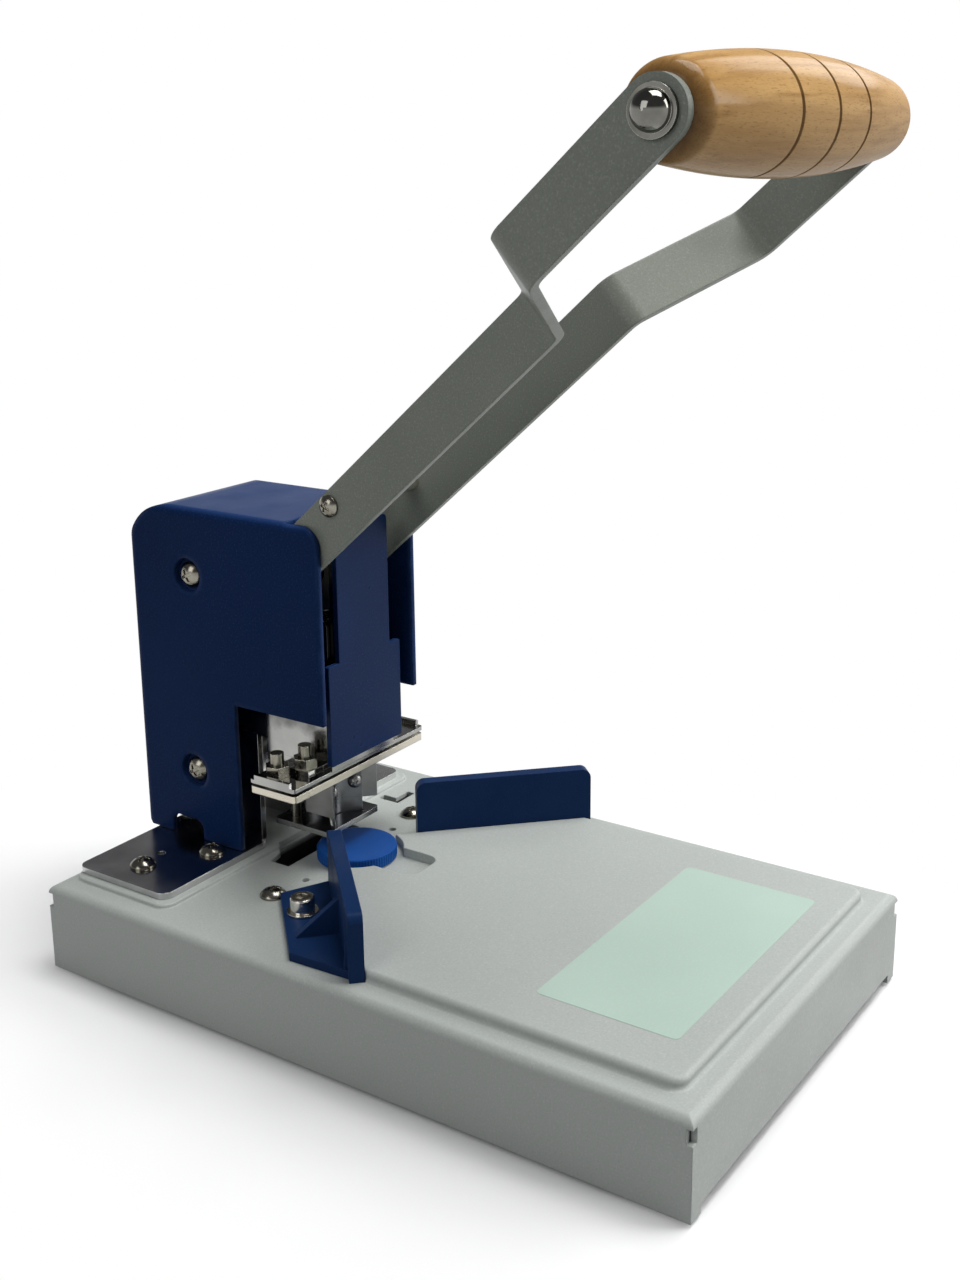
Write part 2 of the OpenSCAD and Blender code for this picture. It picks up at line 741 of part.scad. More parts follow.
module cover_screws() {
  seat_x = cover_x - cup_t + 1;
  color("#d8d4c8") for (s = [-1, 1], p = [upper_spacer, lower_spacer])
    translate([s * seat_x, p[0], p[1]]) rotate([0, s * 90, 0])
      pan_screw(screw_head_d, screw_head_h, screw_d, cover_screw_l);
}

module pivot_shaft() {
  color("#a9abac") rod_x(shaft_d, -cover_x + 0.2, cover_x - 0.2, pivot_y, pivot_z);
}

// Seat of the return spring, held between the frame plates by the guide studs
stud_grip = 5;
module spring_seat() {
  color("#8f9396") difference() {
    union() {
      translate([-frame_x, seat_y - seat_l / 2, seat_z]) cube([2 * frame_x, seat_l, seat_h]);
      translate([0, seat_y, seat_z + seat_h - eps])
        cylinder(d = return_d - 2 * return_wire - 1.6, h = seat_post_h);
    }
    for (s = [-1, 1]) rod_x(stud_d + 2 * run_gap, s > 0 ? frame_x - stud_grip - 0.2 : -frame_x - 1,
      s > 0 ? frame_x + 1 : -frame_x + stud_grip + 0.2, seat_y, stud_z);
  }
}

// Studs that run in the upright slots of the ram channel
stud_head_d = 10;
module guide_studs() {
  neck = channel_x + ram_t + slide_gap;
  color("#b9babb") for (s = [-1, 1]) mirror([s < 0 ? 1 : 0, 0, 0]) {
    rod_x(stud_d, frame_x - stud_grip, neck + eps, seat_y, stud_z);
    rod_x(stud_head_d, neck, neck + 1.4, seat_y, stud_z);
  }
}

module return_spring() {
  h = head_bottom_z - seat_z - seat_h;
  turns = floor(h / return_pitch);
  path = coil_path(return_d, return_wire, h, turns);
  echo(return_spring_least_gap = coil_gap(path, return_wire));
  color("#9a9c9e") translate([0, seat_y, seat_z + seat_h])
    coil_spring(return_d, return_wire, h, turns);
}

// Lever: y runs back from the grip to the pivot, z across the bars
module at_lever() {
  translate([0, pivot_y, pivot_z]) rotate([-lever_angle, 0, 0]) children();
}

jog_out = grip_x - bar_x;
jog_angle = atan2(jog_out, jog_l);
bend_mid_r = 6;

// Points on an arc from angle a to angle b
bend_steps = 10;
function arc(centre, r, a, b) = [for (i = [0 : bend_steps])
  let (t = a + (b - a) * i / bend_steps) centre + r * [cos(t), sin(t)]];

// Bent strip of one lever bar: x along the lever, y outwards
module bar_strip() {
  cut = bend_mid_r * tan(jog_angle / 2);
  start = -bar_w;
  end = grip_reach + bar_w;
  first = [jog_start - cut, bend_mid_r];
  second = [jog_start + jog_l + cut, jog_out - bend_mid_r];
  wide = bend_mid_r + bar_t / 2;
  tight = bend_mid_r - bar_t / 2;
  polygon(concat(
    [[start, -bar_t / 2]], arc(first, wide, -90, jog_angle - 90), arc(second, tight, 90 + jog_angle, 90),
    [[end, jog_out - bar_t / 2], [end, jog_out + bar_t / 2]],
    arc(second, wide, 90, 90 + jog_angle), arc(first, tight, jog_angle - 90, -90), [[start, bar_t / 2]]));
}

module lever_bar() {
  color("#8b918b") at_lever() difference() {
    intersection() {
      translate([bar_x + bar_t / 2, 0, -bar_w / 2]) rotate(-90) linear_extrude(bar_w) bar_strip();
      plate_x(0, grip_l) {
        translate([-grip_reach, -bar_w / 2]) square([grip_reach, bar_w]);
        for (y = [0, -grip_reach]) translate([y, 0]) circle(d = bar_w);
      }
    }
    rod_x(bush_d + 2 * run_gap, 0, grip_l, 0, 0);
    rod_x(pin_d + 2 * run_gap, 0, 2 * bar_x, -pin_reach, 0);
    rod_x(tie_screw_d + 2 * run_gap, 0, 2 * bar_x, -tie_rod_at[0], tie_rod_at[1]);
    rod_x(grip_bolt_d + 2 * run_gap, 0, grip_l, -grip_reach, 0);
  }
}

module right_lever_bar() lever_bar();
module left_lever_bar() mirror([1, 0, 0]) lever_bar();

module lever_bushes() {
  inner = frame_x + frame_t + slide_gap;
  color("#b08d4a") for (s = [-1, 1]) mirror([s < 0 ? 1 : 0, 0, 0]) difference() {
    rod_x(bush_d, inner, bar_x + bar_t, pivot_y, pivot_z);
    rod_x(shaft_d + 2 * run_gap, inner - 1, bar_x + bar_t + 1, pivot_y, pivot_z);
  }
}

module drive_pin() {
  color("#a9abac") rod_x(pin_d, -bar_x - bar_t, bar_x + bar_t, pin_y, pin_z);
}

module tie_rod() {
  color("#d0cfc8") at_lever() difference() {
    rod_x(tie_rod_d, -bar_x, bar_x, -tie_rod_at[0], tie_rod_at[1]);
    for (s = [-1, 1]) rod_x(tie_screw_d + 2 * run_gap, s > 0 ? bar_x - 8 : -bar_x - 1,
      s > 0 ? bar_x + 1 : 8 - bar_x, -tie_rod_at[0], tie_rod_at[1]);
  }
}

module tie_rod_screws() {
  color("#d8d4c8") at_lever() for (s = [-1, 1])
    translate([s * (bar_x + bar_t), -tie_rod_at[0], tie_rod_at[1]]) rotate([0, s * 90, 0])
      pan_screw(7.6, 2.8, tie_screw_d, bar_t + 7);
}

// Wooden grip: a barrel with three turned grooves and rounded ends
grip_end_r = 6;
grip_bolt_d = 6;
groove_step = grip_l / 6;
groove_r = 0.9;

module wooden_grip() {
  barrel_r = (pow(grip_x, 2) + pow(grip_taper, 2)) / (2 * grip_taper);
  centre = grip_d / 2 - barrel_r;
  end_at = grip_x - grip_end_r;
  end_h = centre + sqrt(pow(barrel_r - grip_end_r, 2) - pow(end_at, 2));
  end_turn = atan2(end_h - centre, end_at);
  bore_r = grip_bolt_d / 2 + run_gap;
  barrel = [for (i = [-12 : 12])
    let (a = i / 12 * (90 - end_turn)) [centre + barrel_r * cos(a), barrel_r * sin(a)]];
  upper = [for (i = [1 : 8])
    let (a = 90 - end_turn + i / 8 * end_turn) [end_h + grip_end_r * cos(a), end_at + grip_end_r * sin(a)]];
  lower = [for (i = [7 : -1 : 0]) [upper[i][0], -upper[i][1]]];
  color("#c79a62") at_lever() translate([0, -grip_reach, 0]) rotate([0, 90, 0]) rotate_extrude()
    difference() {
      polygon(concat(lower, barrel, upper, [[bore_r, grip_x], [bore_r, -grip_x]]));
      for (y = [-groove_step, 0, groove_step]) {
        surface_r = centre + sqrt(pow(barrel_r, 2) - pow(y, 2));
        translate([surface_r + groove_r * 0.3, y]) circle(groove_r, $fn = 16);
      }
    }
}

module grip_bolt() {
  color("#a9abac") at_lever() rod_x(grip_bolt_d, -grip_x - bar_t - 3, grip_x + bar_t + 3, -grip_reach, 0);
}

// Domed nuts with a flange on both ends of the grip bolt
cap_d = 13.4;
cap_flange = 1.4;
cap_dome_d = 10.6;
module grip_cap_nuts() {
  color("#cfccc2") at_lever() for (s = [-1, 1])
    translate([s * (grip_x + bar_t), -grip_reach, 0]) rotate([0, s * 90, 0]) difference() {
      union() {
        cylinder(d = cap_d, h = cap_flange);
        translate([0, 0, cap_flange]) intersection() {
          sphere(d = cap_dome_d);
          translate([0, 0, -0.4]) cylinder(d = cap_d, h = cap_dome_d);
        }
      }
      translate([0, 0, -1]) cylinder(d = grip_bolt_d + 2 * run_gap, h = 1 + 3 + 0.3);
    }
}

// Ram

channel_back_y = presser_pin_y + 4.5;
channel_top_z = stud_z + stroke + stud_d / 2 + 6;
tab_w = 8.2;
tab_l = 8.8;

module ram_channel() {
  slot_d = stud_d + 2 * slide_gap;
  half = channel_x + ram_t;
  color("#cfcfca") difference() {
    union() {
      plate_y(channel_y, ram_t) {
        translate([-half, tray_top_z]) square([2 * half, shoulder_z - 2 - tray_top_z]);
        translate([0, tray_top_z]) slab(face_top_w - 1, face_top_z - 3 - tray_top_z, 2);
      }
      for (s = [-1, 1]) mirror([s < 0 ? 1 : 0, 0, 0]) {
        plate_x(channel_x, ram_t) {
          translate([(channel_y + channel_back_y) / 2, tray_top_z])
            slab(channel_back_y - channel_y, shoulder_z - 2 - tray_top_z, 6);
          translate([seat_y, tray_top_z]) slab(20, channel_top_z - tray_top_z, 6);
        }
        translate([half - eps, stud_places[1][1] - tab_l / 2, tray_top_z]) cube([tab_w, tab_l, ram_t]);
      }
    }
    for (s = [-1, 1]) mirror([s < 0 ? 1 : 0, 0, 0]) {
      plate_x(channel_x - 1, ram_t + 2) {
        for (z = [stud_z, stud_z + stroke]) translate([seat_y, z]) circle(d = slot_d);
        translate([seat_y - slot_d / 2, stud_z]) square([slot_d, stroke]);
      }
      translate([stud_places[1][0], stud_places[1][1], tray_top_z - 1])
        cylinder(d = screw_d + 2 * run_gap, h = ram_t + 2);
    }
  }
}

// Head of the ram, with the level slot that the drive pin pushes down
head_w = 20;
module ram_head() {
  slot_h = pin_d + 2 * slot_gap;
  front = channel_y + ram_t;
  back = pin_y + pin_d / 2 + 5;
  slot_y = pin_y - pin_shift - slot_gap;
  slot_l = pin_shift + 2 * slot_gap;
  color("#8f9396") difference() {
    translate([-head_w / 2, front, head_bottom_z]) cube([head_w, back - front, head_top_z - head_bottom_z]);
    plate_x(-head_w, 2 * head_w) {
      for (y = [slot_y, slot_y + slot_l]) translate([y, pin_z]) circle(d = slot_h);
      translate([slot_y, pin_z - slot_h / 2]) square([slot_l, slot_h]);
    }
  }
}

module ram_face_plate() {
  color("#22407a") plate_y(face_y, face_t) {
    rounded_rect([-face_w / 2, face_bottom_z], [face_w / 2, shoulder_z], 0.8);
    rounded_rect([-face_top_w / 2, face_bottom_z + 5], [face_top_w / 2, face_top_z], 2);
  }
}

// Plate across the ram that the presser springs push on
module presser_spring_plate() {
  half = frame_x - 0.6;
  color("#9fa2a4") translate([-half, channel_y + ram_t, presser_plate_z])
    cube([2 * half, presser_pin_y + 5 - channel_y - ram_t, 3]);
}

// Plan shared by the tool tray and the tool plate: two wings and a back part
module tool_plan(w) {
  rounded_rect([-w / 2, tool_y], [w / 2, tool_y + tool_l], 1.5);
  rounded_rect([-channel_x - ram_t, tool_y + 2], [channel_x + ram_t, tool_back_y], 1.5);
}

module tool_holes(z, h) {
  for (s = [-1, 1]) translate([0, 0, z]) {
    for (p = stud_places) translate([s * p[0], p[1], 0]) cylinder(d = screw_d + 2 * run_gap, h = h);
    translate([s * presser_pin_x, presser_pin_y, 0]) cylinder(d = presser_pin_d + 2 * run_gap, h = h);
  }
}

lip_inset = 2.4;
module tool_tray() {
  color("#d5d5d2") difference() {
    union() {
      translate([0, 0, tray_z]) linear_extrude(tray_t) tool_plan(tool_w);
      translate([0, 0, tray_z]) linear_extrude(tray_t + lip_h) for (s = [0, 1]) mirror([s, 0])
        translate([tool_w / 2 - tray_t, tool_y + lip_inset]) square([tray_t, tool_l - 2 * lip_inset]);
    }
    tool_holes(tray_z - 1, tray_t + 2);
  }
}

module tool_plate() {
  color("#c8c4b8") difference() {
    translate([0, 0, tool_z]) linear_extrude(tool_t) tool_plan(tool_w - 0.6);
    tool_holes(tool_z - 1, tool_t + 2);
  }
}

module tool_spacers() {
  color("#6d6f72") for (s = [-1, 1], p = stud_places)
    translate([s * p[0], p[1], tool_z + tool_t]) difference() {
      cylinder(d = 10, h = tray_gap);
      translate([0, 0, -1]) cylinder(d = screw_d + 2 * run_gap, h = tray_gap + 2);
    }
}

tool_stud_over = 4.5;
module tool_studs() {
  color("#c9c6bb") for (s = [-1, 1], k = [0, 1])
    translate([s * stud_places[k][0], stud_places[k][1], tool_z])
      cylinder(d = screw_d, h = tray_top_z - tool_z + (k == 0 ? 0 : ram_t) + nut_h + tool_stud_over);
}

module tool_nuts() {
  color("#d8d4c8") for (s = [-1, 1], k = [0, 1])
    translate([s * stud_places[k][0], stud_places[k][1], tray_top_z + (k == 0 ? 0 : ram_t)])
      rotate(s * 15) hex_nut(nut_d, nut_h, screw_d + 2 * run_gap);
}

// Blade holder: a block with a square notch in line with the guides
holder_half = 13;
blade_reach = 8.2;
blade_v = corner_y;
module blade_holder() {
  v = blade_v + blade_t * sqrt(2);
  front = v - holder_half - 1.2;
  back = corner_y + 6.5;
  w = holder_half;
  color("#9a9c98") difference() {
    translate([0, 0, holder_z]) linear_extrude(holder_h) difference() {
      polygon([[-w, front], [w, front], [w, back - 5], [w - 5, back], [5 - w, back], [-w, back - 5]]);
      corner_area(v, corner_r + blade_t, 40);
    }
    at_blade_screws() cylinder(d = 3 + 2 * run_gap, h = 20, center = true);
  }
}

// Places of the two blade screws, their axes square to the faces of the notch
blade_screw_along = (blade_reach + corner_r / sqrt(2)) / 2;
module at_blade_screws() {
  for (s = [-1, 1]) mirror([s < 0 ? 1 : 0, 0, 0])
    translate([blade_screw_along, blade_v - blade_screw_along, holder_z + 7])
      rotate(-45) rotate([90, 0, 0]) children();
}

// Blade: a bevelled strip round the corner, sharp at its lower inner edge
blade_bevel = 2.4;
module blade_section(x) {
  h = holder_z + holder_h - 1.5 - presser_z;
  translate([x, 0]) polygon([[0, 0], [blade_t, blade_bevel], [blade_t, h], [0, h]]);
}

module corner_blade() {
  arm = (blade_reach - corner_r / sqrt(2)) * sqrt(2);
  color("#70767c") difference() {
    translate([0, blade_v - corner_r * sqrt(2), presser_z]) union() {
      rotate(45) rotate_extrude(angle = 90) blade_section(corner_r);
      for (s = [-1, 1]) mirror([s < 0 ? 1 : 0, 0, 0]) rotate(45) rotate([90, 0, 0])
        linear_extrude(arm) blade_section(corner_r);
    }
    at_blade_screws() cylinder(d = 3 + 2 * run_gap, h = 20, center = true);
  }
}

module blade_screws() {
  color("#c9c6bb") at_blade_screws() pan_screw(5.2, 1.8, 3, blade_t + 5);
}

// Presser foot with a slot that the blade passes through
presser_w = 30;
presser_front = 10.7;
blade_slot_gap = 0.5;
module presser_foot() {
  outer_v = blade_v + (blade_t + blade_slot_gap) * sqrt(2);
  inner_v = blade_v - blade_slot_gap * sqrt(2);
  color("#b4b2a8") difference() {
    translate([0, 0, presser_z]) linear_extrude(presser_t) difference() {
      rounded_rect([-presser_w / 2, corner_y - presser_front], [presser_w / 2, tool_back_y], 1.5);
      intersection() {
        difference() {
          corner_area(outer_v, corner_r + blade_t + blade_slot_gap, 40);
          corner_area(inner_v, corner_r - blade_slot_gap, 60);
        }
        translate([-blade_reach - 1.2, 0]) square([2 * blade_reach + 2.4, corner_y + 10]);
      }
    }
    for (s = [-1, 1]) translate([s * presser_pin_x, presser_pin_y, presser_z - 1])
      cylinder(d = presser_pin_d - 1 + 2 * run_gap, h = presser_t + 2);
  }
}

module presser_pins() {
  color("#d0cfc8") for (s = [-1, 1]) translate([s * presser_pin_x, presser_pin_y, 0]) {
    translate([0, 0, presser_z]) cylinder(d = presser_pin_d - 1, h = presser_t + eps);
    translate([0, 0, presser_z + presser_t])
      cylinder(d = presser_pin_d, h = tray_top_z + eps - presser_z - presser_t);
    translate([0, 0, tray_top_z]) cylinder(d = 6.4, h = presser_head_h);
  }
}

module presser_springs() {
  h = presser_plate_z - tray_top_z - presser_head_h;
  path = coil_path(presser_spring_d, presser_wire, h, presser_turns);
  echo(presser_spring_least_gap = coil_gap(path, presser_wire));
  color("#9a9c9e") for (s = [-1, 1])
    translate([s * presser_pin_x, presser_pin_y, tray_top_z + presser_head_h])
      coil_spring(presser_spring_d, presser_wire, h, presser_turns);
}

base_tray();
rubber_feet();
anvil_plate();
anvil_screws();
left_guide();
right_guide();
guide_washers();
guide_screws();
guide_nuts();
cutting_disc();
disc_clip();
left_frame_plate();
right_frame_plate();
frame_screws();
frame_nuts();
spacer_bars();
tower_cover();
cover_screws();
pivot_shaft();
spring_seat();
guide_studs();
return_spring();
left_lever_bar();
right_lever_bar();
lever_bushes();
drive_pin();
tie_rod();
tie_rod_screws();
wooden_grip();
grip_bolt();
grip_cap_nuts();
ram_channel();
ram_head();
ram_face_plate();
presser_spring_plate();
tool_tray();
tool_plate();
tool_spacers();
tool_studs();
tool_nuts();
blade_holder();
corner_blade();
blade_screws();
presser_foot();
presser_pins();
presser_springs();
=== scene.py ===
import json
import math
import bpy
import numpy as np
from mathutils import Matrix, Vector


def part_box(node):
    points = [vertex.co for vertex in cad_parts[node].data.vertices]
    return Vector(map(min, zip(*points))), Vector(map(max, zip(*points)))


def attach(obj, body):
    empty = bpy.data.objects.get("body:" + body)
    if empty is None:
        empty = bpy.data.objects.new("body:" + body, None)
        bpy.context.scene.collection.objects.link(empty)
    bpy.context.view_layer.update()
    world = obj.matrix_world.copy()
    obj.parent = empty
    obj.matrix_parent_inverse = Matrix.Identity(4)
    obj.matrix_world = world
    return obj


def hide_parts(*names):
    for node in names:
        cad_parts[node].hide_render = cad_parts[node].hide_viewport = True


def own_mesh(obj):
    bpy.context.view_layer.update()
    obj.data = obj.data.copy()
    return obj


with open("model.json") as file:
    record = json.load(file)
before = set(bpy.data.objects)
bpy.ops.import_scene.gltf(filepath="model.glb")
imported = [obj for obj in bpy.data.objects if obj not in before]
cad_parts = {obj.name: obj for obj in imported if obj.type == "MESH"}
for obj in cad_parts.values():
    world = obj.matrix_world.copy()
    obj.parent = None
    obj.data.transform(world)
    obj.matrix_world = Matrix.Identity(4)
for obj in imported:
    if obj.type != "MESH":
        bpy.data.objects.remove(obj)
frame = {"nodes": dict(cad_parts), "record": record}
nodes = frame["nodes"]
scene = bpy.context.scene
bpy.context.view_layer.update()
print("stage: frame loaded,", len(nodes), "nodes")

# Stretches of a noise's values that the finishes use, and how a rounded normal tells edges from faces
most = (0.3, 0.7)
middle = (0.35, 0.65)
rounding = {"samples": 6, "turned": (0.995, 0.80)}


# A finish is one node graph, on object coordinates in metres
class Finish:
    def __init__(self, tree, space="Object"):
        self.tree = tree
        self.place = self.add("TexCoord").outputs[space]

    def add(self, kind, inputs=None, **settings):
        n = self.tree.nodes.new("ShaderNode" + kind)
        for key, v in settings.items():
            setattr(n, key, v)
        for key, v in (inputs or {}).items():
            self.feed(n.inputs[key], v)
        return n

    def feed(self, socket, v):
        if isinstance(v, bpy.types.NodeSocket):
            self.tree.links.new(v, socket)
        elif socket.type == "RGBA":
            socket.default_value = (*v, 1)
        else:
            socket.default_value = v

    def stretched(self, scale, shift=(0, 0, 0)):
        inputs = {"Vector": self.place, "Location": shift, "Scale": scale}
        return self.add("Mapping", inputs).outputs["Vector"]

    def noise(self, scale, detail=2.0, vector=None, twist=0.0):
        inputs = {"Vector": vector or self.place, "Scale": scale, "Detail": detail, "Distortion": twist}
        return self.add("TexNoise", inputs).outputs["Fac"]

    def spread(self, value, a, b, low=0.0, high=1.0):
        inputs = {"Value": value, "From Min": a, "From Max": b, "To Min": low, "To Max": high}
        return self.add("MapRange", inputs).outputs["Result"]

    def tint(self, fac, a, b):
        n = self.add("Mix", data_type="RGBA")
        for k, v in ((0, fac), (6, a), (7, b)):  # the node's sockets for colours
            self.feed(n.inputs[k], v)
        return n.outputs[2]

    def maths(self, operation, a, b=0.0):
        return self.add("Math", {0: a, 1: b}, operation=operation).outputs[0]

    def along(self, vector, letter):
        return self.add("SeparateXYZ", {0: vector}).outputs[letter]

    def normal(self):
        return self.add("NewGeometry").outputs["Normal"]

    def bump(self, height, depth, normal, strength=0.3):
        inputs = {"Height": height, "Distance": depth, "Strength": strength, "Normal": normal}
        return self.add("Bump", inputs).outputs["Normal"]

    # Normal rounded over edges, and how far it turns from the flat one: 0 on faces, 1 on edges
    def edge(self, radius):
        soft = self.add("Bevel", {"Radius": radius}, samples=rounding["samples"]).outputs["Normal"]
        same = self.add("VectorMath", {0: soft, 1: self.normal()}, operation="DOT_PRODUCT")
        return soft, self.spread(same.outputs["Value"], *rounding["turned"])

    # The camera's own rays, and all rays that show a surface to it
    def showing(self):
        rays = self.add("LightPath").outputs
        both = self.maths("MAXIMUM", rays["Is Camera Ray"], rays["Is Glossy Ray"])
        return rays["Is Camera Ray"], self.maths("MAXIMUM", both, rays["Is Transmission Ray"])

    def done(self, colour, rough, normal, fixed):
        self.feed(self.shader.inputs["Base Color"], colour)
        self.feed(self.shader.inputs["Roughness"], rough)
        self.feed(self.shader.inputs["Normal"], normal)
        for key, v in fixed.items():
            self.shader.inputs[key].default_value = v
        return self.material


def newFinish(name):
    material = bpy.data.materials.new(name)
    material.use_nodes = True
    f = Finish(material.node_tree)
    f.material = material
    f.shader = f.tree.nodes["Principled BSDF"]
    return f


# Sprayed paint and moulded plastic: a slow drift of tone, grain with bright and dark specks,
# orange peel, paler edges that are part rubbed coat and part painted highlight, and faces that look up
# painted paler as painted light
coating = {"pale": (0.55, 0.78), "deep": (0.45, 0.22), "rubAndHighlight": 160, "rubAndHighlightLeast": 0.4, "paintedTopLight": 90,
           "paintedTopLightLeast": 0.7, "paintedTopLightFacing": (0.5, 0.95), "polish": 55, "polishSwing": 0.05}


def coatedFinish(name, s):
    f = newFinish(name)
    drift = f.noise(s["drift"])
    grain = f.noise(s["grain"])
    peel = f.noise(s["peel"], 1)
    normal, edge = f.edge(s["edge"])
    rubAndHighlight = f.spread(f.noise(coating["rubAndHighlight"], 3), *middle, s["edgeWearAndHighlight"] * coating["rubAndHighlightLeast"], s["edgeWearAndHighlight"])
    colour = f.tint(f.spread(drift, *middle), s["dark"], s["light"])
    colour = f.tint(f.spread(grain, *coating["pale"], 0.0, s["speck"]), colour, s["pale"])
    colour = f.tint(f.spread(grain, *coating["deep"], 0.0, s["speck"]), colour, s["deep"])
    # paler edges: part rubbed coat, part painted highlight
    colour = f.tint(f.maths("MULTIPLY", edge, rubAndHighlight), colour, s["pale"])
    # painted light: faces that look up are painted a paler blue
    if "paintedTopLight" in s:
        facing = f.spread(f.along(f.normal(), "Z"), *coating["paintedTopLightFacing"])
        paintedTopLightPatches = f.spread(f.noise(coating["paintedTopLight"], 4), *most, s["paintedTopLight"] * coating["paintedTopLightLeast"], s["paintedTopLight"])
        colour = f.tint(f.maths("MULTIPLY", facing, paintedTopLightPatches), colour, s["pale"])
    normal = f.bump(grain, s["grainDepth"], f.bump(peel, s["peelDepth"], normal))
    swing = coating["polishSwing"]
    rough = f.spread(f.noise(coating["polish"], 3), *most, s["rough"] - swing, s["rough"] + swing)
    return f.done(colour, rough, normal, {"Specular IOR Level": s["gloss"]})


coats = {
    "base_paint": {
        "dark": (0.426, 0.456, 0.432), "light": (0.450, 0.481, 0.456),
        "pale": (0.62, 0.64, 0.62), "deep": (0.34, 0.355, 0.34),
        "drift": 9, "grain": 1500, "peel": 420, "grainDepth": 0.00005, "peelDepth": 0.00006,
        "edge": 0.0007, "edgeWearAndHighlight": 0.35, "speck": 0.45, "rough": 0.44, "gloss": 0.4},
    "cover_paint": {
        "dark": (0.0042, 0.0182, 0.072), "light": (0.0060, 0.0225, 0.086),
        "pale": (0.030, 0.070, 0.21), "deep": (0.003, 0.011, 0.048),
        "drift": 14, "grain": 1500, "peel": 380, "grainDepth": 0.00002, "peelDepth": 0.00004,
        "edge": 0.0030, "edgeWearAndHighlight": 0.75, "speck": 0.40, "rough": 0.32, "gloss": 0.03, "paintedTopLight": 0.40},
    "guide_plastic": {
        "dark": (0.0075, 0.0245, 0.081), "light": (0.0095, 0.0295, 0.096),
        "pale": (0.03, 0.065, 0.19), "deep": (0.004, 0.013, 0.05),
        "drift": 30, "grain": 2600, "peel": 700, "grainDepth": 0.00002, "peelDepth": 0.00001,
        "edge": 0.0005, "edgeWearAndHighlight": 0.5, "speck": 0.25, "rough": 0.36, "gloss": 0.04},
    "disc_plastic": {
        "dark": (0.007, 0.062, 0.265), "light": (0.009, 0.076, 0.31),
        "pale": (0.06, 0.20, 0.62), "deep": (0.006, 0.05, 0.25),
        "drift": 60, "grain": 2400, "peel": 600, "grainDepth": 0.00001, "peelDepth": 0.00001,
        "edge": 0.0003, "edgeWearAndHighlight": 0.4, "speck": 0.20, "rough": 0.38, "gloss": 0.08},
    "lever_paint": {
        "dark": (0.196, 0.214, 0.182), "light": (0.221, 0.240, 0.205),
        "pale": (0.38, 0.40, 0.37), "deep": (0.14, 0.152, 0.135),
        "drift": 22, "grain": 1700, "peel": 500, "grainDepth": 0.00004, "peelDepth": 0.00003,
        "edge": 0.0008, "edgeWearAndHighlight": 0.6, "speck": 0.50, "rough": 0.42, "gloss": 0.3},
    "rubber": {
        "dark": (0.012, 0.012, 0.012), "light": (0.018, 0.018, 0.018),
        "pale": (0.05, 0.05, 0.05), "deep": (0.006, 0.006, 0.006),
        "drift": 60, "grain": 2200, "peel": 900, "grainDepth": 0.00006, "peelDepth": 0.00003,
        "edge": 0.0005, "edgeWearAndHighlight": 0.4, "speck": 0.40, "rough": 0.75, "gloss": 0.3},
}
coats["face_paint"] = {**coats["cover_paint"], "edge": 0.0005, "gloss": 0.08}  # flat plate, crisper edges

# Plated and ground metal: smudges in the polish, fine scratches along the stretch, and edges painted lighter
# as a painted highlight.
# Some have bright cut sides beside dull flat faces, or painted shade: darker above a height, where the parts
# stand in shade inside the cover
metalwork = {"twist": 0.3, "scratch": (0.35, 0.25, 0.0, 0.5), "edgeShare": 0.5, "cutFacing": (0.7, 0.4),
             "paintedShadeBorder": 120, "paintedShadeWander": 0.003, "paintedShadeShare": 0.9, "hairline": (0.55, 0.8, 0.0, 0.08),
             "bump": 0.2}


def metalFinish(name, s):
    f = newFinish(name)
    smudge = f.noise(s["smudge"], 4)
    scratch = f.noise(1.0, 3, f.stretched(s["stretch"]), metalwork["twist"])
    normal, edge = f.edge(s["edge"])
    colour = f.tint(f.spread(smudge, *middle), s["dark"], s["light"])
    colour = f.tint(f.spread(scratch, *metalwork["scratch"]), colour, s["deep"])
    # painted highlight: edges painted lighter
    colour = f.tint(f.maths("MULTIPLY", edge, metalwork["edgeShare"]), colour, s["bright"])
    if "cut" in s:
        upright = f.maths("ABSOLUTE", f.along(f.normal(), "Z"))
        colour = f.tint(f.spread(upright, *metalwork["cutFacing"]), colour, s["cut"])
    # painted shade: colour darker above a height, where the part stands inside the cover
    if "paintedShadeFrom" in s:
        wander = metalwork["paintedShadeWander"]
        uneven = f.spread(f.noise(metalwork["paintedShadeBorder"], 3), *most, -wander, wander)
        height = f.maths("ADD", f.along(f.place, "Z"), uneven)
        colour = f.tint(f.spread(height, *s["paintedShadeFrom"], 0.0, metalwork["paintedShadeShare"]), colour, s["paintedShadeTone"])
    hairline = f.spread(scratch, *metalwork["hairline"])
    rough = f.maths("ADD", f.spread(smudge, *most, *s["rough"]), hairline)
    return f.done(colour, rough, f.bump(scratch, s["depth"], normal, metalwork["bump"]), {"Metallic": 1.0})


